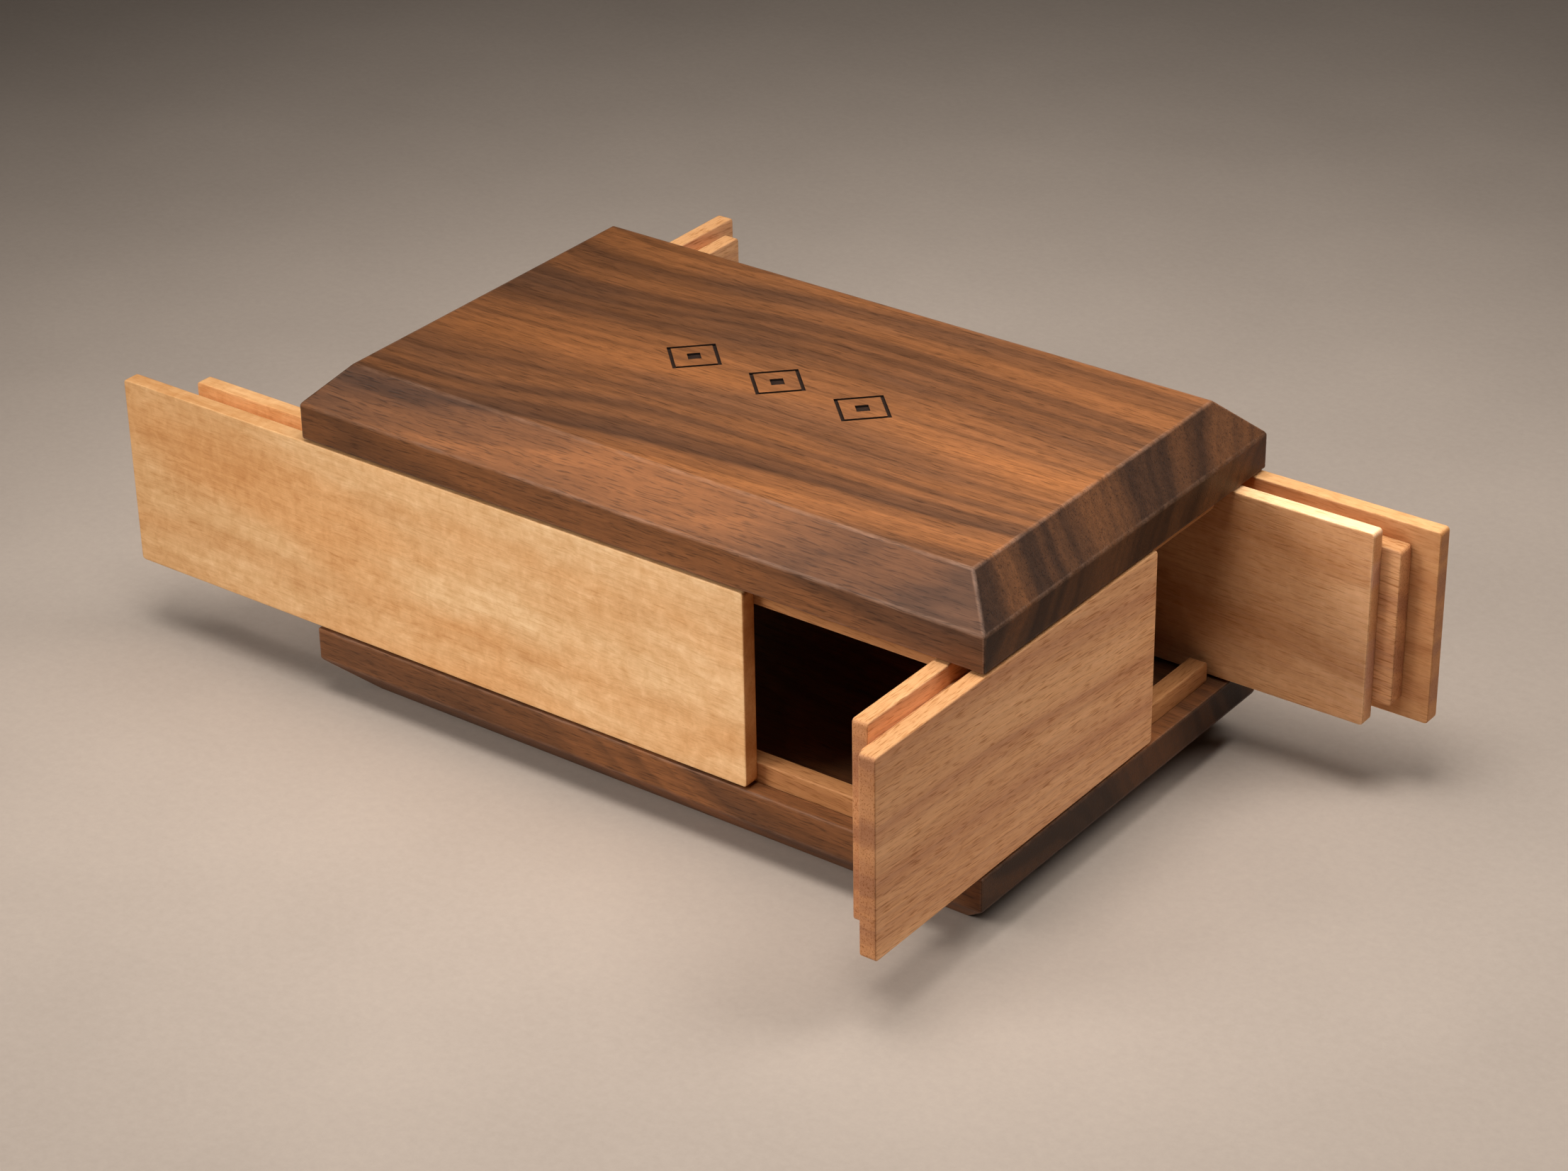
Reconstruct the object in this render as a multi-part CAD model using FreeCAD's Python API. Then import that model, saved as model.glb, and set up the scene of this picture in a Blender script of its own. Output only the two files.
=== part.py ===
import FreeCAD, Part
import os

# Wooden puzzle box with four sliding side panels, stored with the panels slid open.
# Frame: X along the front, Y towards the back, Z up, origin at the centre of the base's underside.
# All sizes are in millimetres.

# ---- overall sizes of the box body ----
width = 200.0  # lid and base, left to right
depth = 120.0  # lid and base, front to back
side_gap = 53.0  # clear height between base and lid

# ---- lid and base boards ----
lid_board = 19.0
base_board = 19.0
lid_bevel = 9.7  # 45 degree bevel round the lid's top
base_bevel = 10.3  # 45 degree bevel round the base's underside
arris = 0.6  # eased corners of the two boards

# ---- the three layers of a side panel, from the outside in ----
outer_plate = 4.4
spacer = 5.2
inner_plate = 4.2
plate_ease = 0.5  # eased edges on a panel's two show faces

# ---- the rails that the panels run on ----
rail_height = 5.5
rail_end_gap = 15.6  # a rail stops this far from the corner, so the neighbour's panel can pass

# ---- clearances ----
run_clear = 0.2  # rail to plate, and rail to spacer
plate_clear = 0.8  # plate to base, and plate to lid
corner_clear = 0.3  # one panel to another where they meet at a corner

# ---- the four panels, in the order they stand round the box ----
sides = ("front", "right", "back", "left")
slid_open = {"front": 61.0, "right": 41.0, "back": 49.3, "left": 48.0}
# extra room left at each panel's tail, behind the plate that covers it when the box is closed
tail_room = {"front": 0.0, "right": 2.8, "back": 3.8, "left": 0.0}

# ---- engraved ornament on the lid ----
motifs = 3
motif_pitch = 25.0
motif_width = 17.0
motif_height = 17.0
motif_line = 0.9
motif_dot = 4.6
engraving_depth = 0.6

half = {"front": width / 2, "right": depth / 2, "back": width / 2, "left": depth / 2}
reach = {"front": depth / 2, "right": width / 2, "back": depth / 2, "left": width / 2}
turn = {"front": 0, "right": 90, "back": 180, "left": 270}

lid_bottom = base_board + side_gap
one_layer = outer_plate
two_layers = outer_plate + spacer
three_layers = outer_plate + spacer + inner_plate

os.makedirs("parts", exist_ok=True)


def block(x0, x1, y0, y1, z0, z1):
    """A rectangular piece of wood between two corners."""
    return Part.makeBox(x1 - x0, y1 - y0, z1 - z0, FreeCAD.Vector(x0, y0, z0))


def edges_where(shape, test):
    """The straight edges of a shape whose two ends both pass a test."""
    return [e for e in shape.Edges if all(test(v.Point) for v in e.Vertexes)]


def upright_edges(shape):
    """The straight edges of a shape that run up and down."""
    found = []
    for e in shape.Edges:
        a = e.Vertexes[0].Point
        b = e.Vertexes[-1].Point
        if abs(a.x - b.x) < 1e-6 and abs(a.y - b.y) < 1e-6:
            found.append(e)
    return found


def to_side(shape, side):
    """Turns a piece drawn for the front round to another side of the box."""
    shape.rotate(FreeCAD.Vector(0, 0, 0), FreeCAD.Vector(0, 0, 1), turn[side])
    return shape


def save(shape, name):
    """Writes one node."""
    solid = shape.Solids[0]
    assert len(shape.Solids) == 1 and solid.isValid(), name
    solid.exportStep("parts/%s.step" % name)
    print("%-20s %9.0f mm3" % (name, solid.Volume))


def bevelled_board(z0, z1, bevel, bevel_z):
    """A board with a wide bevel round the face at height bevel_z and eased upright corners."""
    board = block(-width / 2, width / 2, -depth / 2, depth / 2, z0, z1)
    rim = edges_where(board, lambda p: abs(p.z - bevel_z) < 1e-6)
    board = board.makeChamfer(bevel, rim)
    return board.makeChamfer(arris, upright_edges(board))


def lozenge(cx, cy, w, h, z0, z1):
    """An upright prism with a lozenge outline."""
    corners = [(cx - w / 2, cy), (cx, cy - h / 2), (cx + w / 2, cy), (cx, cy + h / 2)]
    outline = [FreeCAD.Vector(x, y, z0) for x, y in corners]
    face = Part.Face(Part.makePolygon(outline + outline[:1]))
    return face.extrude(FreeCAD.Vector(0, 0, z1 - z0))


def ornament(top):
    """Lozenge outlines in a row, each with a small lozenge inside, as a tool for cutting grooves."""
    floor = top - engraving_depth
    above = top + 1.0
    slope = (motif_width**2 + motif_height**2) ** 0.5
    # moving a lozenge's sides in by the line's width shortens its diagonals by these amounts
    less_w = 2 * motif_line * slope / motif_height
    less_h = 2 * motif_line * slope / motif_width
    tools = []
    for k in range(motifs):
        cx = (k - (motifs - 1) / 2) * motif_pitch
        ring = lozenge(cx, 0, motif_width, motif_height, floor, above)
        core = lozenge(cx, 0, motif_width - less_w, motif_height - less_h, floor, above)
        dot = lozenge(cx, 0, motif_dot, motif_dot * motif_height / motif_width, floor, above)
        tools.append(ring.cut(core))
        tools.append(dot)
    return tools


def previous(side):
    """The neighbour whose tail this panel's leading end covers when the box is closed."""
    return sides[sides.index(side) - 1]


def tail_set_back(side):
    """How far the outer plate's tail stops short of the corner when the box is closed."""
    return one_layer + corner_clear + tail_room[side]


def lead_steps(side):
    """How far the spacer and the inner plate stop short of the outer plate at the leading end.

    All four panels move together. Each step is long enough that the layer only crosses the
    neighbour's outer plate once that plate has moved out of its way.
    """
    other = previous(side)
    pace = slid_open[side] / slid_open[other]
    spacer_step = one_layer + pace * (two_layers - tail_set_back(other)) + corner_clear
    inner_step = one_layer + pace * (three_layers - tail_set_back(other)) + corner_clear
    return max(spacer_step, one_layer + corner_clear), inner_step


def plate(x0, x1, y0, y1, show_y):
    """A thin board standing clear of the base and the lid, eased round its show face."""
    wood = block(x0, x1, y0, y1, base_board + plate_clear, lid_bottom - plate_clear)
    return wood.makeChamfer(plate_ease, edges_where(wood, lambda p: abs(p.y - show_y) < 1e-6))


def panel(side):
    """The three layers of one side panel, drawn as for the front: it slides towards -X."""
    lead = -half[side] - slid_open[side]
    tail = half[side] - slid_open[side]
    face = -reach[side]
    spacer_step, inner_step = lead_steps(side)
    inner_tail = tail - three_layers - corner_clear
    outer = plate(lead, tail - tail_set_back(side), face, face + one_layer, face)
    middle = block(
        lead + spacer_step,
        inner_tail,
        face + one_layer,
        face + two_layers,
        base_board + rail_height + run_clear,
        lid_bottom - rail_height - run_clear,
    )
    back_face = face + three_layers
    inner = plate(lead + inner_step, inner_tail, face + two_layers, back_face, back_face)
    return outer, middle, inner


def rail(side, z0, z1):
    """A strip that stands between a panel's outer and inner plates, drawn as for the front."""
    run = half[side] - rail_end_gap
    face = -reach[side]
    return block(-run, run, face + one_layer + run_clear, face + two_layers - run_clear, z0, z1)


base = bevelled_board(0.0, base_board, base_bevel, 0.0)
save(base, "base")

lid_top = lid_bottom + lid_board
lid = bevelled_board(lid_bottom, lid_top, lid_bevel, lid_top)
for tool in ornament(lid_top):
    lid = lid.cut(tool)
save(lid, "lid")

for side in sides:
    low_rail = rail(side, base_board, base_board + rail_height)
    high_rail = rail(side, lid_bottom - rail_height, lid_bottom)
    save(to_side(low_rail, side), "base_rail_" + side)
    save(to_side(high_rail, side), "lid_rail_" + side)
    outer, middle, inner = panel(side)
    save(to_side(outer, side), side + "_outer_plate")
    save(to_side(middle, side), side + "_spacer")
    save(to_side(inner, side), side + "_inner_plate")
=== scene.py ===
# %% [markdown]
# # A wooden puzzle box with four sliding panels
#
# The box is two thick dark boards, a lid and a base, with four light panels between them. Each panel
# is three thin boards glued face to face, and it runs on two rails. Pushed together, the panels turn
# like a pinwheel and close the box. This script dresses the CAD frame: every board is remodelled with
# softened arrises, and gets a solid wood that runs through it, so that faces, edges and end grain
# all show the same tree.

# %% Load the frame
import math

import bmesh
import bpy
from mathutils import Matrix, Vector


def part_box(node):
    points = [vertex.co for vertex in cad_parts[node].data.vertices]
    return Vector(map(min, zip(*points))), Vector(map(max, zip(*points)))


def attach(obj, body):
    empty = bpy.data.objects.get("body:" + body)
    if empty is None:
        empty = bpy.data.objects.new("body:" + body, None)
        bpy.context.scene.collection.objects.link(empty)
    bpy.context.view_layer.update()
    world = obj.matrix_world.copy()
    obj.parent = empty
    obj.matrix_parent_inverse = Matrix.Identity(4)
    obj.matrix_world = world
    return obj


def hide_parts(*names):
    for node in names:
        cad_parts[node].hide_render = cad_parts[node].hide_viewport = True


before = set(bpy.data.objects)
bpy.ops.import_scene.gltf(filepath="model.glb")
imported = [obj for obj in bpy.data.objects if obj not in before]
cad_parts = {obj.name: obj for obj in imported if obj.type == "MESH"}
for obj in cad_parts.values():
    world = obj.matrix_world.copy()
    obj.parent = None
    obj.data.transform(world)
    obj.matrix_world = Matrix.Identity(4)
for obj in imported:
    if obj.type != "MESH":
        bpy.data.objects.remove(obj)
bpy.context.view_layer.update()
MM = 0.001

# %% [markdown]
# ## Softened edges
#
# A board from the saw has knife-sharp edges. The maker breaks them with sandpaper, more at the free
# corners that fingers catch than along the straight runs. Light picks out such a rounded edge as a
# thin bright line, so it has to be real geometry. Every board starts as a plain box, and the bevel
# operator rounds it: on the thin boards first the four corner edges with a larger radius, then all
# the rest with a small one.

# %% A box, and a bevel with every setting stated
RUNS_ALONG = 0.999


def box_bmesh(low, high):
    """A closed box between two corners."""
    bm = bmesh.new()
    bmesh.ops.create_cube(bm, size=1.0)
    bmesh.ops.scale(bm, vec=high - low, verts=bm.verts)
    bmesh.ops.translate(bm, vec=(low + high) / 2, verts=bm.verts)
    return bm


def soften(bm, edges, radius, segments):
    """Bevels these edges. One segment cuts them flat, and more round them."""
    bmesh.ops.bevel(bm, geom=edges, offset=radius, offset_type="OFFSET", affect="EDGES",
                    segments=segments, profile=0.5, clamp_overlap=True, material=-1)


def edges_along(bm, axis):
    """The edges that run along one axis: 0, 1 or 2."""
    found = []
    for edge in bm.edges:
        run = (edge.verts[1].co - edge.verts[0].co).normalized()
        if abs(run[axis]) > RUNS_ALONG:
            found.append(edge)
    return found


print("helpers ready: box_bmesh, soften, edges_along")

# %% [markdown]
# ## Where an edge is worn
#
# Handling polishes the edges and changes their colour: dark wood gets paler there, and light wood
# darker. The material needs to know how near an edge it is, so each large face gets a narrow inset
# border, and a vertex attribute called "edge" runs from 1 on the arris to 0 inside the border. The
# shader turns it into patchy wear.

# %% Mark the border of every wide face
WEAR_BORDER = 0.35 * MM
WIDE_ENOUGH = 1.6 * MM


def mark_edges(bm):
    """Adds the border faces and writes the edge attribute."""
    layer = bm.verts.layers.float.new("edge")
    for vert in bm.verts:
        vert[layer] = 1.0
    bm.normal_update()
    # area over half the perimeter is close to the width of a long strip
    wide = [f for f in bm.faces if f.calc_area() / (f.calc_perimeter() / 2) > WIDE_ENOUGH]
    bmesh.ops.inset_individual(bm, faces=wide, thickness=WEAR_BORDER, use_even_offset=True)
    for face in wide:
        for vert in face.verts:
            vert[layer] = 0.0


print("border of", round(WEAR_BORDER / MM, 2), "mm on faces wider than", round(WIDE_ENOUGH / MM, 2), "mm")

# %% [markdown]
# ## From shape to piece
#
# Blender draws objects, so each finished bmesh becomes a mesh, which takes the board's material, and
# then an object. Its faces are shaded smooth, with a crease wherever two of them meet at a sharper
# angle than the one below, or else the flat boards would look swollen. The last calls hang the piece
# on the body it moves with and hide the CAD solid it stands for.

# %% Finish a piece
SHARP_ANGLE = math.radians(28)


def finish_piece(bm, name, node, body, material):
    """Turns a bmesh into a piece that stands for one CAD node and rides on its body."""
    bmesh.ops.recalc_face_normals(bm, faces=bm.faces)
    mesh = bpy.data.meshes.new(name)
    bm.to_mesh(mesh)
    bm.free()
    mesh.materials.append(material)
    mesh.shade_smooth()
    mesh.set_sharp_from_angle(angle=SHARP_ANGLE)
    piece = bpy.data.objects.new(name, mesh)
    bpy.context.scene.collection.objects.link(piece)
    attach(piece, body)
    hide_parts(node)
    return piece


print("faces crease above", round(math.degrees(SHARP_ANGLE)), "degrees")

# %% [markdown]
# ## Helpers for node trees
#
# A material in Blender is a tree of nodes with links between them. Written out in full, each node
# takes several lines, so these helpers add one node, set its values, link what comes in and hand
# back what comes out. They work like sums: the result of one goes into the next.

# %% Small helpers for node trees


def put(tree, kind, **settings):
    """Adds a node and sets its properties."""
    node = tree.nodes.new(kind)
    for key, value in settings.items():
        setattr(node, key, value)
    return node


def calc(tree, operation, a, b=None, clamp=False):
    """A Math node on two sockets or numbers, giving its output socket."""
    node = put(tree, "ShaderNodeMath", operation=operation, use_clamp=clamp)
    for index, value in enumerate((a, b)):
        if value is None:
            continue
        if isinstance(value, bpy.types.NodeSocket):
            tree.links.new(value, node.inputs[index])
        else:
            node.inputs[index].default_value = value
    return node.outputs[0]


def above(tree, value, start, steepness):
    """0 up to a start value, then rising by a steepness, and never past 1."""
    return calc(tree, "MULTIPLY", calc(tree, "SUBTRACT", value, start), steepness, clamp=True)


def swing(tree, value, amount):
    """A mask that lies around a half, turned into an amount that lies around 0."""
    return calc(tree, "MULTIPLY", calc(tree, "SUBTRACT", value, 0.5), amount)


def stretch(tree, vector, factors):
    """A vector multiplied axis by axis."""
    node = put(tree, "ShaderNodeVectorMath", operation="MULTIPLY")
    tree.links.new(vector, node.inputs[0])
    node.inputs[1].default_value = factors
    return node.outputs[0]


def ramp(tree, value, stops):
    """A colour ramp through (position, colour) stops."""
    node = put(tree, "ShaderNodeValToRGB")
    elements = node.color_ramp.elements
    elements[0].position, elements[0].color = stops[0]
    elements[1].position, elements[1].color = stops[-1]
    for position, colour in stops[1:-1]:
        elements.new(position).color = colour
    tree.links.new(value, node.inputs["Fac"])
    return node.outputs["Color"]


def grey(value):
    """A grey as a ramp colour."""
    return (value, value, value, 1.0)


def noise_at(tree, vector, scale, detail=2.0, roughness=0.5, distortion=0.0):
    """A noise texture's value."""
    node = put(tree, "ShaderNodeTexNoise")
    node.inputs["Scale"].default_value = scale
    node.inputs["Detail"].default_value = detail
    node.inputs["Roughness"].default_value = roughness
    node.inputs["Distortion"].default_value = distortion
    tree.links.new(vector, node.inputs["Vector"])
    return node.outputs["Fac"]


def mix_colours(tree, share, a, b):
    """A colour mix; share, a and b are sockets or values."""
    node = put(tree, "ShaderNodeMix", data_type="RGBA")
    for index, value in ((0, share), (6, a), (7, b)):
        if isinstance(value, bpy.types.NodeSocket):
            tree.links.new(value, node.inputs[index])
        else:
            node.inputs[index].default_value = value
    return node.outputs[2]


def new_group(name, inputs, outputs):
    """An empty shader group. inputs is [(name, kind, default)], outputs is [(name, kind)]."""
    tree = bpy.data.node_groups.new(name, "ShaderNodeTree")
    for label, kind, default in inputs:
        socket = tree.interface.new_socket(label, in_out="INPUT", socket_type=kind)
        if default is not None:
            socket.default_value = default
    for label, kind in outputs:
        tree.interface.new_socket(label, in_out="OUTPUT", socket_type=kind)
    return tree, put(tree, "NodeGroupInput"), put(tree, "NodeGroupOutput")


FLOAT, COLOUR, VECTOR = "NodeSocketFloat", "NodeSocketColor", "NodeSocketVector"
print("node helpers ready")

# %% [markdown]
# ## Wood as a solid
#
# A tree grows in cones round its pith. If a shader works out, for each point, how far it is from an
# imagined pith, the growth rings come out right on every face of a board: long flames on a flat-sawn
# face, tight lines on a quarter-sawn one, arcs on the end. The board's own coordinates come from
# Object coordinates, turned so that X runs along the grain.
#
# The first group makes the rings. A slow noise and a quick one push them about, because no trunk is
# round. It also gives streaks of darker wood, which follow the rings, and soft clouds, which don't.
# Each noise is stretched: it repeats less often per metre along the grain than across it.

# %% Growth rings
SLOW_BEND = (5.0, 11.0, 11.0)
QUICK_BEND = (16.0, 110.0, 110.0)
CLOUD_SPREAD = (14.0, 34.0, 34.0)
RING_JITTER = 0.004

rings, g_in, g_out = new_group(
    "growth_rings",
    [("Vector", VECTOR, None), ("Ring spacing", FLOAT, 0.006), ("Streak size", FLOAT, 0.02),
     ("Wander", FLOAT, 0.01)],
    [("Late wood", FLOAT), ("Streak", FLOAT), ("Cloud", FLOAT)],
)
vec = g_in.outputs["Vector"]
across = put(rings, "ShaderNodeSeparateXYZ")
rings.links.new(vec, across.inputs[0])
radius = calc(rings, "SQRT", calc(rings, "ADD",
              calc(rings, "MULTIPLY", across.outputs["Y"], across.outputs["Y"]),
              calc(rings, "MULTIPLY", across.outputs["Z"], across.outputs["Z"])))
slow = noise_at(rings, stretch(rings, vec, SLOW_BEND), 1.0, 1.0, 0.35, 0.3)
quick = noise_at(rings, stretch(rings, vec, QUICK_BEND), 1.0, 3.0, 0.6)
moved = swing(rings, slow, g_in.outputs["Wander"])
jitter = swing(rings, quick, RING_JITTER)
depth = calc(rings, "ADD", radius, calc(rings, "ADD", moved, jitter))
phase = calc(rings, "DIVIDE", depth, g_in.outputs["Ring spacing"])
late = ramp(rings, calc(rings, "FRACT", phase),
            [(0.0, grey(0.12)), (0.08, grey(0.0)), (0.55, grey(0.28)), (0.9, grey(1.0)),
             (1.0, grey(0.12))])
streak = put(rings, "ShaderNodeTexNoise", noise_dimensions="1D")
streak.inputs["Scale"].default_value = 1.0
streak.inputs["Detail"].default_value = 3.5
streak.inputs["Roughness"].default_value = 0.55
rings.links.new(calc(rings, "DIVIDE", depth, g_in.outputs["Streak size"]), streak.inputs["W"])
cloud = noise_at(rings, stretch(rings, vec, CLOUD_SPREAD), 1.0, 3.0, 0.55, 0.5)
rings.links.new(late, g_out.inputs["Late wood"])
rings.links.new(streak.outputs["Fac"], g_out.inputs["Streak"])
rings.links.new(cloud, g_out.inputs["Cloud"])
print("group", rings.name, "has", len(rings.nodes), "nodes")

# %% [markdown]
# ## Fibres and pores
#
# Close up, wood is a bundle of fibres with open vessels cut along their length. On a face they show
# as short dark dashes and a fine silky streak; on the end they are dots. Noise stretched along the
# grain gives both from one solid pattern. Where the fibres swell from side to side the wood looks
# curly, so the coordinates are first pushed by a slow noise. The group also gives a bump height.

# %% Fibres and pores
SWELL_SPREAD = (38.0, 85.0, 85.0)
FIBRE_SPREAD = (22.0, 640.0, 640.0)
FLECK_SPREAD = (210.0, 2400.0, 2400.0)
PORE_SPREAD = (200.0, 3000.0, 3000.0)
RIPPLE_SPREAD = (330.0, 270.0, 270.0)
DASH_START = 0.56
FLECK_STEEPNESS = 7.0
PORE_STEEPNESS = 8.0

fibres, g_in, g_out = new_group(
    "fibres_and_pores",
    [("Vector", VECTOR, None), ("Waviness", FLOAT, 0.001)],
    [("Fibre", FLOAT), ("Fleck", FLOAT), ("Pore", FLOAT), ("Curl", FLOAT), ("Height", FLOAT)],
)
vec = g_in.outputs["Vector"]
swell = noise_at(fibres, stretch(fibres, vec, SWELL_SPREAD), 1.0, 3.0, 0.6, 0.6)
push = swing(fibres, swell, g_in.outputs["Waviness"])
sideways = put(fibres, "ShaderNodeCombineXYZ")
fibres.links.new(push, sideways.inputs["Y"])
fibres.links.new(push, sideways.inputs["Z"])
wavy = put(fibres, "ShaderNodeVectorMath", operation="ADD")
fibres.links.new(vec, wavy.inputs[0])
fibres.links.new(sideways.outputs[0], wavy.inputs[1])
wavy = wavy.outputs[0]
fibre = noise_at(fibres, stretch(fibres, wavy, FIBRE_SPREAD), 1.0, 5.0, 0.8)
fleck = noise_at(fibres, stretch(fibres, wavy, FLECK_SPREAD), 1.0, 1.0, 0.5)
fleck = above(fibres, fleck, DASH_START, FLECK_STEEPNESS)
pore = noise_at(fibres, stretch(fibres, wavy, PORE_SPREAD), 1.0, 1.0, 0.5)
pore = above(fibres, pore, DASH_START, PORE_STEEPNESS)
ripple = noise_at(fibres, stretch(fibres, vec, RIPPLE_SPREAD), 1.0, 3.0, 0.65, 0.4)
curl = calc(fibres, "ADD", calc(fibres, "MULTIPLY", swell, 0.5), calc(fibres, "MULTIPLY", ripple, 0.5))
height = calc(fibres, "SUBTRACT", fibre, pore)
for label, value in (("Fibre", fibre), ("Fleck", fleck), ("Pore", pore), ("Curl", curl),
                     ("Height", height)):
    fibres.links.new(value, g_out.inputs[label])
print("group", fibres.name, "has", len(fibres.nodes), "nodes")

# %% [markdown]
# ## Edge wear
#
# The wear is the edge attribute broken up by noise, so that the worn line comes and goes as it does
# on a box that is picked up often.

# %% Edge wear
PATCH_SPREAD = (120.0, 300.0, 300.0)
PATCH_START = 0.3
PATCH_STEEPNESS = 3.0
WEAR_FALLOFF = 1.6

wear, g_in, g_out = new_group(
    "edge_wear", [("Vector", VECTOR, None), ("Amount", FLOAT, 0.5)], [("Worn", FLOAT)])
near = put(wear, "ShaderNodeAttribute", attribute_name="edge")
patchy = noise_at(wear, stretch(wear, g_in.outputs["Vector"], PATCH_SPREAD), 1.0, 3.0, 0.65)
patchy = above(wear, patchy, PATCH_START, PATCH_STEEPNESS)
narrow = calc(wear, "POWER", near.outputs["Fac"], WEAR_FALLOFF)
worn = calc(wear, "MULTIPLY", narrow, patchy, clamp=True)
wear.links.new(calc(wear, "MULTIPLY", worn, g_in.outputs["Amount"]), g_out.inputs["Worn"])
print("group", wear.name, "has", len(wear.nodes), "nodes")

# %% [markdown]
# ## Mixing the colours
#
# One group blends a wood's colours with the masks. Streaks of heartwood colour follow the rings,
# slow clouds tint them, and the dark ring lines come on top. End grain drinks more oil: it goes
# towards the heartwood colour, with bands. The worn arrises go towards the edge colour as wear, and
# the long edges that face up or down go towards it too, partly as their own colour and partly as
# painted light and shade from above.
#
# Fibres, curl, flecks, pores and the board's tone then multiply the result. The tone is the wood's
# own on most boards; on the lid and on the back panel's inner plate it also holds painted light and
# shade. A darker spot of wood is also a warmer one, and the warmth says by how much.

# %% Timber colour
STREAK_RANGE = (0.38, 0.66)
CLOUD_RANGE = (0.40, 0.66)
BAND_RANGE = (0.44, 0.58)
RING_EVERYWHERE = 0.3
END_HEART = 0.45
END_BANDS = 0.55
WARMTH_BY_CHANNEL = (0.0, 0.7, 1.6)

blend, g_in, g_out = new_group(
    "timber_colour",
    [("Early", COLOUR, None), ("Late", COLOUR, None), ("Heart", COLOUR, None),
     ("Blush", COLOUR, None), ("Edge", COLOUR, None), ("Late wood", FLOAT, 0.0),
     ("Streak", FLOAT, 0.5), ("Cloud", FLOAT, 0.5), ("Fibre", FLOAT, 0.5), ("Fleck", FLOAT, 0.0),
     ("Pore", FLOAT, 0.0), ("Curl", FLOAT, 0.5), ("Worn", FLOAT, 0.0), ("End grain", FLOAT, 0.0),
     ("Long edge", FLOAT, 0.0), ("Tone", FLOAT, 1.0),
     ("Ring contrast", FLOAT, 0.5), ("Streak contrast", FLOAT, 0.5),
     ("Cloud contrast", FLOAT, 0.5), ("Fibre contrast", FLOAT, 0.3),
     ("Fleck contrast", FLOAT, 0.2), ("Pore contrast", FLOAT, 0.3),
     ("Curl contrast", FLOAT, 0.2), ("End contrast", FLOAT, 0.3), ("Warmth", FLOAT, 0.5)],
    [("Color", COLOUR)],
)
given = g_in.outputs


def rise(tree, value, low, high):
    """0 below low, 1 above high, straight in between."""
    return above(tree, value, low, 1.0 / (high - low))


def around_one(tree, value, contrast):
    """A factor that swings around 1 with a mask."""
    return calc(tree, "ADD", swing(tree, value, contrast), 1.0)


def darker(tree, mask, contrast):
    """A factor of 1 that sinks where a mask is up."""
    return calc(tree, "SUBTRACT", 1.0, calc(tree, "MULTIPLY", mask, contrast))


streaks = calc(blend, "MULTIPLY", rise(blend, given["Streak"], *STREAK_RANGE), given["Streak contrast"])
colour = mix_colours(blend, streaks, given["Early"], given["Heart"])
clouds = calc(blend, "MULTIPLY", rise(blend, given["Cloud"], *CLOUD_RANGE), given["Cloud contrast"])
colour = mix_colours(blend, clouds, colour, given["Blush"])
in_streaks = calc(blend, "ADD", given["Streak"], RING_EVERYWHERE)
lines = calc(blend, "MULTIPLY", given["Ring contrast"], in_streaks)
lines = calc(blend, "MULTIPLY", given["Late wood"], lines, clamp=True)
colour = mix_colours(blend, lines, colour, given["Late"])
oiled = calc(blend, "MULTIPLY", given["End grain"], END_HEART)
colour = mix_colours(blend, oiled, colour, given["Heart"])
bands = calc(blend, "MULTIPLY", given["End grain"], END_BANDS)
bands = calc(blend, "MULTIPLY", bands, rise(blend, given["Streak"], *BAND_RANGE))
colour = mix_colours(blend, bands, colour, given["Late"])
# on long edges that face up or down the edge colour is partly their own colour, partly painted light and
# shade
colour = mix_colours(blend, given["Long edge"], colour, given["Edge"])
colour = mix_colours(blend, given["Worn"], colour, given["Edge"])

factor = calc(blend, "MULTIPLY", around_one(blend, given["Fibre"], given["Fibre contrast"]),
              around_one(blend, given["Curl"], given["Curl contrast"]))
for mask, contrast in (("Fleck", "Fleck contrast"), ("Pore", "Pore contrast"),
                       ("End grain", "End contrast")):
    factor = calc(blend, "MULTIPLY", factor, darker(blend, given[mask], given[contrast]))
factor = calc(blend, "MULTIPLY", factor, given["Tone"])
# where more light is swallowed, blue goes first, then green
warmth = put(blend, "ShaderNodeCombineXYZ")
for axis, extra in enumerate(WARMTH_BY_CHANNEL):
    power = calc(blend, "ADD", calc(blend, "MULTIPLY", given["Warmth"], extra), 1.0)
    blend.links.new(calc(blend, "POWER", factor, power), warmth.inputs[axis])
shaded = put(blend, "ShaderNodeVectorMath", operation="MULTIPLY")
blend.links.new(colour, shaded.inputs[0])
blend.links.new(warmth.outputs[0], shaded.inputs[1])
blend.links.new(shaded.outputs[0], g_out.inputs["Color"])
print("group", blend.name, "has", len(blend.nodes), "nodes")

# %% [markdown]
# ## The woods
#
# Lid and base are walnut. The front panel's plates are a golden, figured wood, the right and left
# panels and every spacer a pinker and straighter one. The back panel's plates are tawny; the inner
# plate takes a darker copy of it, which is painted shade for the part beside the box. The rails are
# a warm brown stick. A wood is a list of colours, sizes in metres and contrasts, so that two woods
# can share one way of making them.

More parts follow.
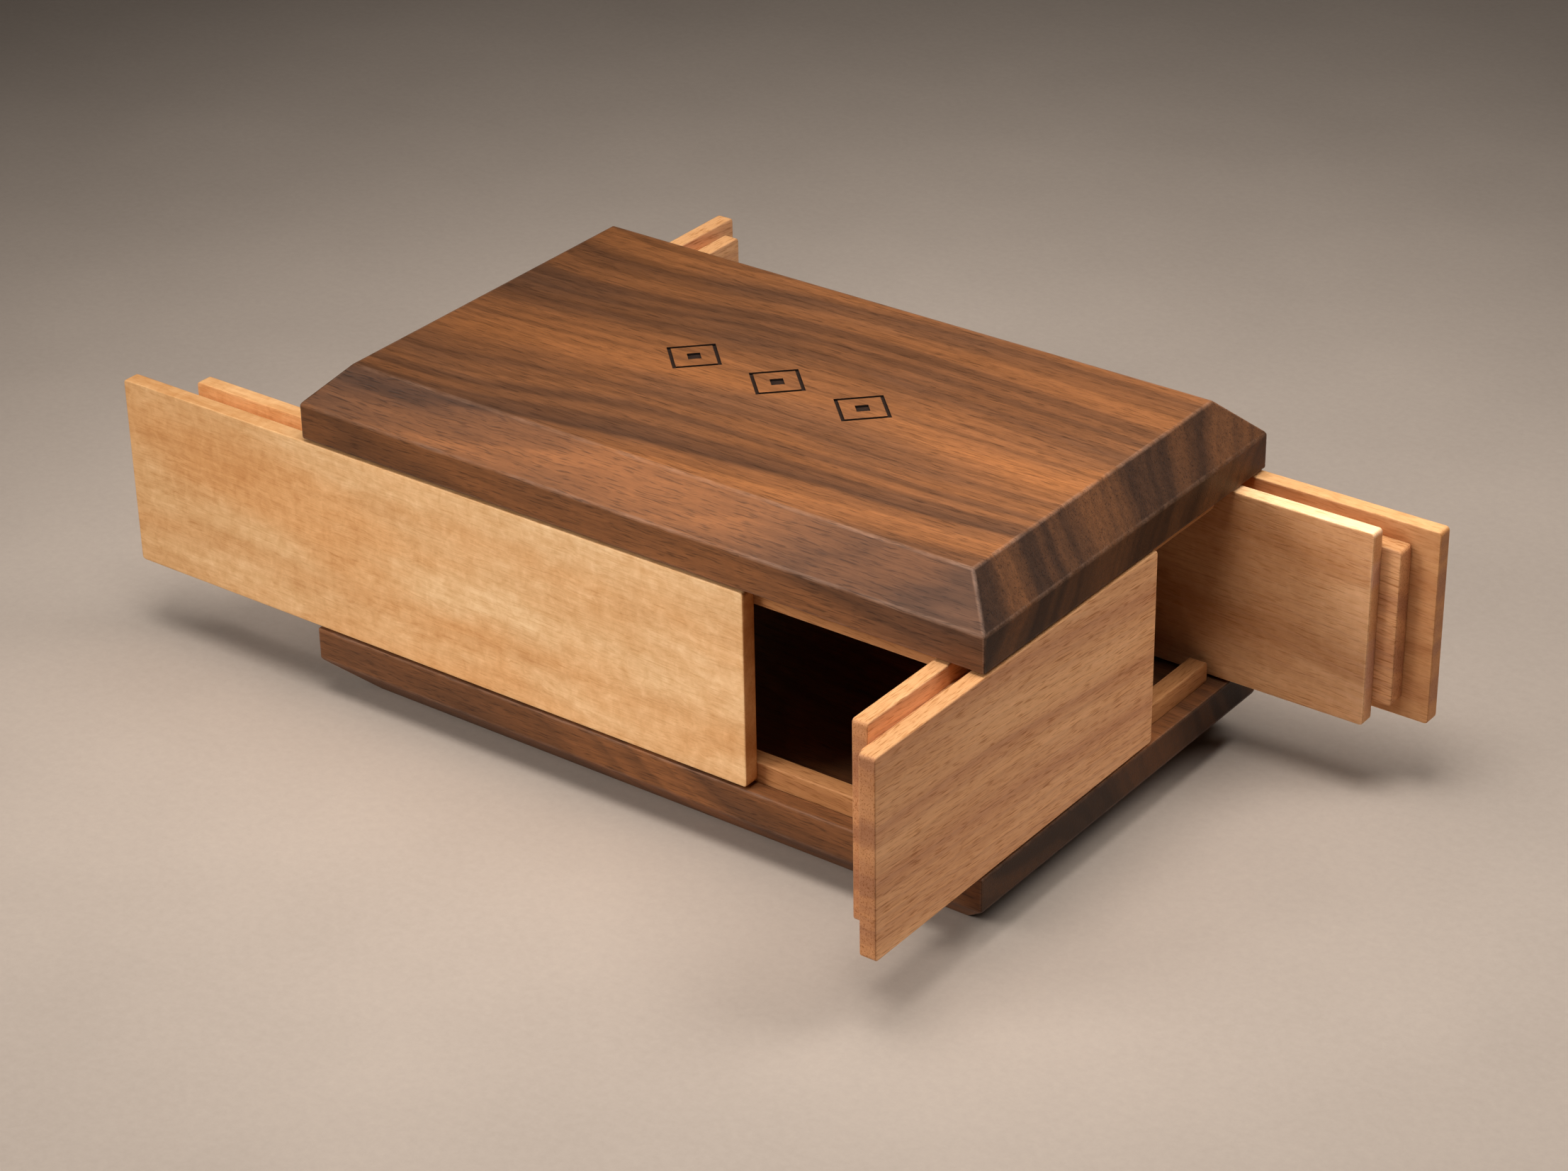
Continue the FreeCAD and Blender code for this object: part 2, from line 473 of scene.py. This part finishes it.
# %% Colours and figures of the woods
# walnut's end contrast darkens the ends and end-grain bevels of lid and base: partly end grain's own
# darkness, partly painted shade on the right-hand side
WALNUT = dict(early=(0.278, 0.103, 0.034), late=(0.030, 0.015, 0.009), heart=(0.063, 0.029, 0.016),
              blush=(0.108, 0.052, 0.029), edge=(0.25, 0.14, 0.09), spacing=0.0046,
              streak_size=0.024, wander=0.060, ring=0.30, streak=0.95, cloud=0.45, fibre=1.35,
              fleck=0.20, pore=0.40, curl=0.45, end=0.43, warmth=0.0, waviness=0.0014,
              roughness=0.48, bump=0.28, wear=0.40)
GOLDEN = dict(early=(0.84, 0.52, 0.255), late=(0.60, 0.30, 0.12), heart=(0.74, 0.40, 0.17),
              blush=(0.78, 0.39, 0.15), edge=(0.52, 0.27, 0.11), spacing=0.006,
              streak_size=0.014, wander=0.05, ring=0.14, streak=0.70, cloud=0.75, fibre=0.42,
              fleck=0.08, pore=0.06, curl=0.80, end=0.25, warmth=0.9, waviness=0.003,
              roughness=0.48, bump=0.16, wear=0.20)
PINKISH = dict(early=(0.86, 0.46, 0.22), late=(0.40, 0.185, 0.11), heart=(0.62, 0.29, 0.14),
               blush=(0.65, 0.30, 0.13), edge=(0.58, 0.295, 0.12), spacing=0.0032,
               streak_size=0.010, wander=0.02, ring=0.26, streak=0.85, cloud=0.5, fibre=0.40,
               fleck=0.30, pore=0.15, curl=0.25, end=0.15, warmth=0.7, waviness=0.0008,
               roughness=0.5, bump=0.2, wear=0.20)
TAWNY = dict(PINKISH, early=(0.70, 0.35, 0.15), heart=(0.50, 0.21, 0.08), blush=(0.55, 0.23, 0.085),
             edge=(0.78, 0.43, 0.185), ring=0.12, fleck=0.12, curl=0.5, cloud=0.8, streak=0.8,
             fibre=0.32, streak_size=0.016, wander=0.04)
# a darker copy of the tawny wood for the back inner plate: painted shade where it stands beside the box
TAWNY_PAINTED_SHADE = dict(TAWNY, early=(0.56, 0.25, 0.095), heart=(0.38, 0.145, 0.047),
                  blush=(0.43, 0.16, 0.05))
RAILWOOD = dict(early=(0.56, 0.26, 0.10), late=(0.30, 0.11, 0.04), heart=(0.41, 0.17, 0.06),
                blush=(0.48, 0.21, 0.075), edge=(0.66, 0.37, 0.17), spacing=0.004,
                streak_size=0.012, wander=0.03, ring=0.4, streak=0.6, cloud=0.4, fibre=0.5,
                fleck=0.3, pore=0.15, curl=0.25, end=0.2, warmth=0.4, waviness=0.001, roughness=0.5,
                bump=0.2, wear=0.25)
print("woods: walnut, golden, pinkish, tawny, tawny with painted shade, rail wood")

# %% [markdown]
# ## One board's material
#
# Each board gets a material of its own, because each is cut from its own place in the tree: the
# Mapping node turns the grain along the board and moves the pith. The four groups are placed in it
# with the wood's values. The surface's normal says which way a face looks, and so whether it is end
# grain or a long edge. The fibres also drive the roughness and a fine bump.

# %% Make a board's material
COLOURS = ("early", "late", "heart", "blush", "edge")
CONTRASTS = ("ring", "streak", "cloud", "fibre", "fleck", "pore", "curl", "end")
END_STEEPNESS = 2.0
DARKEST_TONE = 0.6
ROUGHNESS_SWING = 0.22
BUMP_REACH = 0.15 * MM
WAXED_GLOSS = 0.16
NO_FADE = (0.0, 0.0, 0.0)
ORIGIN = (0.0, 0.0, 0.0)


def timber(name, wood, turn, pith, axis, edge_share=0.0, fade=NO_FADE, centre=ORIGIN):
    """A material for one board: turn brings its grain to X, pith is how far off the pith it is cut.

    axis is the way the grain runs, so that surfaces that face along it are end grain. edge_share
    is how much of the edge colour the surfaces that face up or down get, which is partly their own
    colour and partly painted light and shade. fade is how much lighter the board gets per metre
    along X, Y and Z, starting from its centre; on the lid it is partly painted light and shade,
    and on the back inner plate painted shade.
    """
    mat = bpy.data.materials.new(name)
    mat.use_nodes = True
    tree = mat.node_tree
    surface = tree.nodes["Principled BSDF"]
    place = put(tree, "ShaderNodeTexCoord")
    mapping = put(tree, "ShaderNodeMapping")
    mapping.inputs["Location"].default_value = pith
    mapping.inputs["Rotation"].default_value = turn
    tree.links.new(place.outputs["Object"], mapping.inputs["Vector"])
    made = {}
    for key, group in (("rings", rings), ("fibres", fibres), ("wear", wear), ("mix", blend)):
        made[key] = put(tree, "ShaderNodeGroup", node_tree=group)
        if "Vector" in made[key].inputs:
            tree.links.new(mapping.outputs["Vector"], made[key].inputs["Vector"])
    made["rings"].inputs["Ring spacing"].default_value = wood["spacing"]
    made["rings"].inputs["Streak size"].default_value = wood["streak_size"]
    made["rings"].inputs["Wander"].default_value = wood["wander"]
    made["fibres"].inputs["Waviness"].default_value = wood["waviness"]
    made["wear"].inputs["Amount"].default_value = wood["wear"]
    mixer = made["mix"]
    for source in ("rings", "fibres", "wear"):
        for socket in made[source].outputs:
            if socket.name in mixer.inputs:
                tree.links.new(socket, mixer.inputs[socket.name])
    for label in COLOURS:
        mixer.inputs[label.capitalize()].default_value = (*wood[label], 1.0)
    mixer.inputs["Warmth"].default_value = wood["warmth"]
    for label in CONTRASTS:
        mixer.inputs[label.capitalize() + " contrast"].default_value = wood[label]
    facing = put(tree, "ShaderNodeVectorMath", operation="DOT_PRODUCT")
    tree.links.new(place.outputs["Normal"], facing.inputs[0])
    facing.inputs[1].default_value = axis
    end = calc(tree, "MULTIPLY", facing.outputs["Value"], facing.outputs["Value"])
    end = calc(tree, "MULTIPLY", end, END_STEEPNESS, clamp=True)
    tree.links.new(end, mixer.inputs["End grain"])
    # surfaces facing up or down get the edge colour: partly their own colour, partly painted light and
    # shade
    upward = put(tree, "ShaderNodeSeparateXYZ")
    tree.links.new(place.outputs["Normal"], upward.inputs[0])
    flat = calc(tree, "MULTIPLY", upward.outputs["Z"], upward.outputs["Z"])
    tree.links.new(calc(tree, "MULTIPLY", flat, edge_share), mixer.inputs["Long edge"])
    along = put(tree, "ShaderNodeVectorMath", operation="DOT_PRODUCT")
    tree.links.new(place.outputs["Object"], along.inputs[0])
    along.inputs[1].default_value = fade
    start = 1.0 - Vector(fade).dot(Vector(centre))
    tone = calc(tree, "MAXIMUM", calc(tree, "ADD", along.outputs["Value"], start), DARKEST_TONE)
    tree.links.new(tone, mixer.inputs["Tone"])
    tree.links.new(mixer.outputs["Color"], surface.inputs["Base Color"])
    rough = calc(tree, "MULTIPLY", made["fibres"].outputs["Fibre"], ROUGHNESS_SWING)
    rough = calc(tree, "ADD", rough, wood["roughness"] - ROUGHNESS_SWING / 2)
    tree.links.new(rough, surface.inputs["Roughness"])
    bump = put(tree, "ShaderNodeBump")
    bump.inputs["Strength"].default_value = wood["bump"]
    bump.inputs["Distance"].default_value = BUMP_REACH
    tree.links.new(made["fibres"].outputs["Height"], bump.inputs["Height"])
    tree.links.new(bump.outputs["Normal"], surface.inputs["Normal"])
    surface.inputs["Specular IOR Level"].default_value = WAXED_GLOSS
    return mat


print("each material joins the groups:", ", ".join(g.name for g in (rings, fibres, wear, blend)))

# %% [markdown]
# ## Lid and base
#
# Each is one board, planed flat, with a wide 45 degree bevel along all four sides: on the lid it
# faces up, on the base it faces down, so that the box seems to float. A box shape gets its four
# rim edges bevelled in one flat step, then every remaining arris is softened.

# %% A board with a wide bevel
LID_BEVEL = 9.7 * MM
BASE_BEVEL = 10.3 * MM
BOARD_ARRIS = 0.45 * MM
SAME_LEVEL = 1e-6
ALONG_X = (0.0, 0.0, 0.0)
BASE_PITH = (0.31, 0.10, 0.055)


def bevelled_board(node, bevel, top):
    """The bmesh of a board whose top or underside rim has a wide bevel."""
    low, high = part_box(node)
    bm = box_bmesh(low, high)
    level = high.z if top else low.z
    rim = [e for e in bm.edges if all(abs(v.co.z - level) < SAME_LEVEL for v in e.verts)]
    soften(bm, rim, bevel, segments=1)
    soften(bm, list(bm.edges), BOARD_ARRIS, segments=3)
    return bm


base_bm = bevelled_board("base", BASE_BEVEL, top=False)
mark_edges(base_bm)
base_mat = timber("walnut_base", WALNUT, ALONG_X, BASE_PITH, (1, 0, 0))
base_wood = finish_piece(base_bm, "base_board", "base", "base", base_mat)
print("base faces:", len(base_wood.data.polygons))

# %% [markdown]
# ## The engraved lozenges
#
# The lid carries a row of three plain lozenges, cut as a thin line 0.6 mm deep and darkened, each
# with a sunk dot in its middle. The outlines are scored into the flat top with cutting planes, so
# the mesh stays one piece. The faces between the outer and the inner outline, and the dots, are
# then extruded downwards.

# %% Score and sink the lozenges
MOTIFS = 3
PITCH = 25.0 * MM
MOTIF_W, MOTIF_H = 17.0 * MM, 17.0 * MM
LINE = 0.9 * MM
DOT_W = 4.6 * MM
DEPTH = 0.6 * MM
MARGIN = 2 * MM
CUT_SNAP = 1e-7
FACES_ALONG = 0.99


def diamond(x, y, cx, w, h):
    """Below 1 inside a lozenge of width w and height h, above 1 outside."""
    return abs(x - cx) / (w / 2) + abs(y) / (h / 2)


def motif_sizes():
    """Width and height of the outer outline, the inner outline and the dot."""
    slope = math.hypot(MOTIF_W, MOTIF_H)
    inner = (MOTIF_W - 2 * LINE * slope / MOTIF_H, MOTIF_H - 2 * LINE * slope / MOTIF_W)
    return (MOTIF_W, MOTIF_H), inner, (DOT_W, DOT_W * MOTIF_H / MOTIF_W)


def top_faces(bm, level, field=None):
    """Faces lying at a level, and if a field's half sizes are given, only those inside it."""
    found = []
    for face in bm.faces:
        centre = face.calc_center_median()
        if abs(centre.z - level) > SAME_LEVEL or abs(face.normal.z) < FACES_ALONG:
            continue
        if field and (abs(centre.x) > field[0] or abs(centre.y) > field[1]):
            continue
        found.append(face)
    return found


def score(bm, faces, point, normal):
    """Cuts a straight line across some faces."""
    geom = set(faces)
    for face in faces:
        geom.update(face.edges)
        geom.update(face.verts)
    bmesh.ops.bisect_plane(bm, geom=list(geom), dist=CUT_SNAP, plane_co=point, plane_no=normal)


def engrave(bm, level):
    """Scores every lozenge into the top and sinks lines and dots. Gives the number of sunk faces."""
    field = (MOTIFS * PITCH / 2, MOTIF_H / 2 + MARGIN)
    bm.normal_update()
    for axis in (0, 1):
        for sign in (-1, 1):
            normal = Vector((0, 0, 0))
            normal[axis] = sign
            score(bm, top_faces(bm, level), normal * field[axis] + Vector((0, 0, level)), normal)
    centres = [(k - (MOTIFS - 1) / 2) * PITCH for k in range(MOTIFS)]
    for k in range(MOTIFS - 1):
        between = Vector(((centres[k] + centres[k + 1]) / 2, 0, level))
        score(bm, top_faces(bm, level, field), between, Vector((1, 0, 0)))
    for cx in centres:
        for w, h in motif_sizes():
            for sx in (-1, 1):
                for sy in (-1, 1):
                    cell = [f for f in top_faces(bm, level, field)
                            if abs(f.calc_center_median().x - cx) < PITCH / 2]
                    side = Vector((sx * h, sy * w, 0)).normalized()
                    score(bm, cell, Vector((cx + sx * w / 2, 0, level)), side)
    outer, inner, dot = motif_sizes()
    sunk = []
    for face in top_faces(bm, level, field):
        c = face.calc_center_median()
        for cx in centres:
            on_line = diamond(c.x, c.y, cx, *outer) < 1 < diamond(c.x, c.y, cx, *inner)
            if on_line or diamond(c.x, c.y, cx, *dot) < 1:
                sunk.append(face)
    grown = bmesh.ops.extrude_face_region(bm, geom=sunk)
    bottoms = [g for g in grown["geom"] if isinstance(g, bmesh.types.BMVert)]
    bmesh.ops.translate(bm, vec=(0, 0, -DEPTH), verts=bottoms)
    bmesh.ops.delete(bm, geom=sunk, context="FACES")
    return len(sunk)


lid_bm = bevelled_board("lid", LID_BEVEL, top=True)
mark_edges(lid_bm)
lid_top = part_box("lid")[1].z
print("sunk faces:", engrave(lid_bm, lid_top))

# %% [markdown]
# ## Burnt lines
#
# The cut lines are nearly black. A second attribute, "burnt", is 1 on the faces that reach down to
# the bottom of a cut, and the lid's material mixes in a sooty colour there. The lid also gets
# lighter from left to right and a little towards the front: partly the wood's own tone, partly
# painted light and shade.

# %% The lid
LID_PITH = (2.95, -0.11, -0.03)
# how much lighter the lid gets per metre: partly the wood's own tone, partly painted light and shade
LID_TONE_AND_PAINTED_LIGHT = (3.8, -1.0, 0.0)
SOOT = (0.012, 0.009, 0.008, 1.0)
SOOT_SHARE = 0.93

burnt = lid_bm.faces.layers.float.new("burnt")
for face in lid_bm.faces:
    low_point = min(v.co.z for v in face.verts)
    middle = face.calc_center_median()
    at_bottom = abs(low_point - (lid_top - DEPTH)) < SAME_LEVEL
    among_motifs = abs(middle.x) < MOTIFS * PITCH / 2 and abs(middle.y) < MOTIF_H
    face[burnt] = 1.0 if at_bottom and among_motifs else 0.0

lid_mat = timber("walnut_lid", WALNUT, ALONG_X, LID_PITH, (1, 0, 0), fade=LID_TONE_AND_PAINTED_LIGHT)
tree = lid_mat.node_tree
surface = tree.nodes["Principled BSDF"]
mark = put(tree, "ShaderNodeAttribute", attribute_name="burnt")
wood_colour = surface.inputs["Base Color"].links[0].from_socket
soot_share = calc(tree, "MULTIPLY", mark.outputs["Fac"], SOOT_SHARE)
tree.links.new(mix_colours(tree, soot_share, wood_colour, SOOT), surface.inputs["Base Color"])
lid_wood = finish_piece(lid_bm, "lid_board", "lid", "lid", lid_mat)
print("lid faces:", len(lid_wood.data.polygons))

# %% [markdown]
# ## Panels and rails
#
# All of them are plain thin boards, and what tells them from a drawing is the arris. The four
# corners of each board are rounded in its own plane, then the edges round its two faces are eased.

# %% Round a thin board
SIDES = ("front", "right", "back", "left")
PLATE_CORNER = 1.0 * MM
PLATE_ARRIS = 0.35 * MM
RAIL_CORNER = 0.8 * MM
RAIL_ARRIS = 0.3 * MM


def thin_board(node, body, material, through, corner, arris):
    """A thin board: corners rounded about the through axis, then all its edges eased."""
    low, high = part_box(node)
    bm = box_bmesh(low, high)
    soften(bm, edges_along(bm, through), corner, segments=4)
    bm.normal_update()
    faces = [f for f in bm.faces if abs(f.normal[through]) > FACES_ALONG]
    rim = list({e for f in faces for e in f.edges})
    soften(bm, rim, arris, segments=3)
    mark_edges(bm)
    finish_piece(bm, node + "_board", node, body, material)


print("plates: corners", round(PLATE_CORNER / MM, 2), "mm, arris", round(PLATE_ARRIS / MM, 2), "mm")

# %% [markdown]
# ## Cutting the boards from their trees
#
# Every plate and spacer gets a pith of its own, and so does each pair of rails, so that no two show
# the same grain. The grain runs a few degrees off a board's length, as it does in sawn wood. The
# long edges of plates and spacers take most of the edge colour, which is partly painted light and
# shade. Two plates change tone along their length: the golden one slightly, and the inner plate of
# the back panel a lot, as painted shade that darkens it towards the end that stays in the box.

# %% Panels and rails
PANEL_ALONG_X = (0.0, math.radians(-2.5), 0.0)
PANEL_ALONG_Y = (math.radians(4.0), 0.0, -math.pi / 2)
# share of edge colour on plate and spacer tops and bottoms: partly own colour, partly painted light and
# shade
PLATE_EDGE_SHARE = 0.8
RAIL_PITH = (3.0, 0.04, 0.09)
RAIL_STEP = 0.2
PITH = {
    "front_outer_plate": (0.13, 0.020, 0.33), "right_outer_plate": (0.40, 0.12, 0.21),
    "back_outer_plate": (0.77, -0.11, 0.24), "left_outer_plate": (0.90, 0.14, 0.26),
    "front_spacer": (1.1, 0.05, 0.19), "right_spacer": (1.3, 0.09, 0.18),
    "back_spacer": (1.5, 0.07, 0.17), "left_spacer": (1.7, 0.06, 0.18),
    "front_inner_plate": (1.9, 0.07, 0.23), "right_inner_plate": (2.1, 0.10, 0.22),
    "back_inner_plate": (2.3, -0.02, 0.21), "left_inner_plate": (2.5, 0.12, 0.24),
}
# the back inner plate's strong fade is painted shade, darker towards the end beside the box
FADE = {"front_outer_plate": (0.8, 0.0, 0.0), "back_inner_plate": (7.0, 0.0, 0.0)}
count = 0
for number, side in enumerate(SIDES):
    short = side in ("right", "left")
    turn = PANEL_ALONG_Y if short else PANEL_ALONG_X
    through = 0 if short else 1
    axis = (0, 1, 0) if short else (1, 0, 0)
    face_wood = {"front": GOLDEN, "back": TAWNY}.get(side, PINKISH)
    for layer, wood, slot in (("outer_plate", face_wood, "golden_panel"),
                              ("inner_plate", face_wood, "golden_panel"),
                              ("spacer", PINKISH, "panel_core")):
        node = f"{side}_{layer}"
        # the back inner plate takes the darker copy of its wood: painted shade
        wood = TAWNY_PAINTED_SHADE if node == "back_inner_plate" else wood
        middle = sum((Vector(corner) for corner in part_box(node)), Vector()) / 2
        mat = timber(node + "_timber", wood, turn, PITH[node], axis, PLATE_EDGE_SHARE,
                     FADE.get(node, NO_FADE), middle)
        thin_board(node, f"{side}_panel", mat, through, PLATE_CORNER, PLATE_ARRIS)
        count += 1
    for body in ("base", "lid"):
        node = f"{body}_rail_{side}"
        pith = (RAIL_PITH[0] + RAIL_STEP * number, RAIL_PITH[1], RAIL_PITH[2])
        mat = timber(node + "_timber", RAILWOOD, turn, pith, axis)
        thin_board(node, body, mat, through, RAIL_CORNER, RAIL_ARRIS)
        count += 1
print("thin boards:", count)

# %% [markdown]
# ## The stand-in studio
#
# The box stands on a plain pale sheet of paper, far wider than the camera sees. Its colour varies
# slightly over a hand's width, and has a fine tooth. A sheet of one flat colour would look drawn.

# %% Floor
FLOOR_HALF = 4.0
SOFT_SCALE = 11.0
TOOTH_SCALE = 420.0
SOFT_SHARE = 0.32
TOOTH_SHARE = 0.28
PAPER_LIFT = 0.20
PAPER_ROUGHNESS = 0.9
PAPER_GLOSS = 0.1
PAPER = [(0.35, (0.348, 0.287, 0.240, 1.0)), (0.65, (0.428, 0.353, 0.295, 1.0))]

floor_mesh = bpy.data.meshes.new("floor")
floor_bm = bmesh.new()
bmesh.ops.create_grid(floor_bm, x_segments=8, y_segments=8, size=FLOOR_HALF)
floor_bm.to_mesh(floor_mesh)
floor_bm.free()
floor = bpy.data.objects.new("floor", floor_mesh)
bpy.context.scene.collection.objects.link(floor)
floor_mat = bpy.data.materials.new("paper_floor")
floor_mat.use_nodes = True
tree = floor_mat.node_tree
where = put(tree, "ShaderNodeTexCoord")
soft = noise_at(tree, where.outputs["Object"], SOFT_SCALE, 3.0, 0.55)
tooth = noise_at(tree, where.outputs["Object"], TOOTH_SCALE, 4.0, 0.75)
soft = calc(tree, "MULTIPLY", soft, SOFT_SHARE)
paper = calc(tree, "ADD", soft, calc(tree, "MULTIPLY", tooth, TOOTH_SHARE))
paper = calc(tree, "ADD", paper, PAPER_LIFT)
surface = tree.nodes["Principled BSDF"]
tree.links.new(ramp(tree, paper, PAPER), surface.inputs["Base Color"])
surface.inputs["Roughness"].default_value = PAPER_ROUGHNESS
surface.inputs["Specular IOR Level"].default_value = PAPER_GLOSS
floor_mesh.materials.append(floor_mat)
print("floor", [round(x, 2) for x in floor.dimensions])

# %% [markdown]
# ## Four soft lights
#
# Area lights that are larger than the box give soft shadows. The key stands in front, to the left,
# and lights the front panel. The overhead and the top hang above: they light the lid and put
# the soft shadows under the overhanging panels. The rim comes from the right rear and lights the
# ends on that side. All are close, so the floor gets darker behind, and there is very little light
# from all round.

# %% Lights
LAMP_COLOUR = (1.0, 0.985, 0.965)
ROOM_COLOUR = (0.9, 0.82, 0.74, 1.0)
ROOM_LIGHT = 0.01


def soft_light(name, place, aim, size, watts, spread):
    """A square area light turned towards a point; spread is the width of its beam, in degrees."""
    data = bpy.data.lights.new(name, "AREA")
    data.shape = "SQUARE"
    data.size = size
    data.energy = watts
    data.spread = math.radians(spread)
    data.color = LAMP_COLOUR
    lamp = bpy.data.objects.new(name, data)
    direction = Vector(aim) - Vector(place)
    lamp.location = place
    lamp.rotation_euler = direction.to_track_quat("-Z", "Y").to_euler()
    bpy.context.scene.collection.objects.link(lamp)


soft_light("key", (-0.40, -0.68, 0.48), (0.01, -0.055, 0.05), 0.38, 0.68, 60.0)
soft_light("overhead", (0.07, -0.14, 0.90), (-0.01, 0.10, 0.0), 0.40, 0.97, 72.0)
soft_light("top", (0.0, -0.12, 0.62), (-0.02, -0.10, 0.0), 0.40, 0.95, 130.0)
soft_light("rim", (0.47, 0.20, 0.69), (0.12, 0.0, 0.02), 0.40, 0.42, 55.0)
world = bpy.data.worlds.new("studio")
bpy.context.scene.world = world
world.use_nodes = True
room = world.node_tree.nodes["Background"]
room.inputs["Color"].default_value = ROOM_COLOUR
room.inputs["Strength"].default_value = ROOM_LIGHT
bpy.context.scene.view_settings.view_transform = "Standard"

# %% [markdown]
# ## Camera
#
# A long lens from the front right, looking down about 29 degrees, so that parallel edges stay
# nearly parallel. The camera is placed by the angle it looks from and its distance from an aim
# point near the middle of the box.

# %% Camera
AZIMUTH, ELEVATION, ROLL = (math.radians(a) for a in (36.96, 28.865, -0.984))
AIM = Vector((-0.00838, 0.01247, 0.02723))
DISTANCE = 0.97145
LENS = 89.29

out_dir = Vector((math.sin(AZIMUTH) * math.cos(ELEVATION),
                  -math.cos(AZIMUTH) * math.cos(ELEVATION), math.sin(ELEVATION)))
right_dir = Vector((0, 0, 1)).cross(out_dir).normalized()
up_dir = out_dir.cross(right_dir)
cam_x = math.cos(ROLL) * right_dir + math.sin(ROLL) * up_dir
cam_y = math.cos(ROLL) * up_dir - math.sin(ROLL) * right_dir
camera_data = bpy.data.cameras.new("camera")
camera_data.lens = LENS
camera_data.sensor_width = 36.0
camera_data.clip_start = 0.01
camera = bpy.data.objects.new("camera", camera_data)
bpy.context.scene.collection.objects.link(camera)
turned = Matrix((cam_x, cam_y, out_dir)).transposed().to_4x4()
camera.matrix_world = Matrix.Translation(AIM + DISTANCE * out_dir) @ turned
bpy.context.scene.camera = camera
print("camera at", [round(x, 4) for x in camera.location])
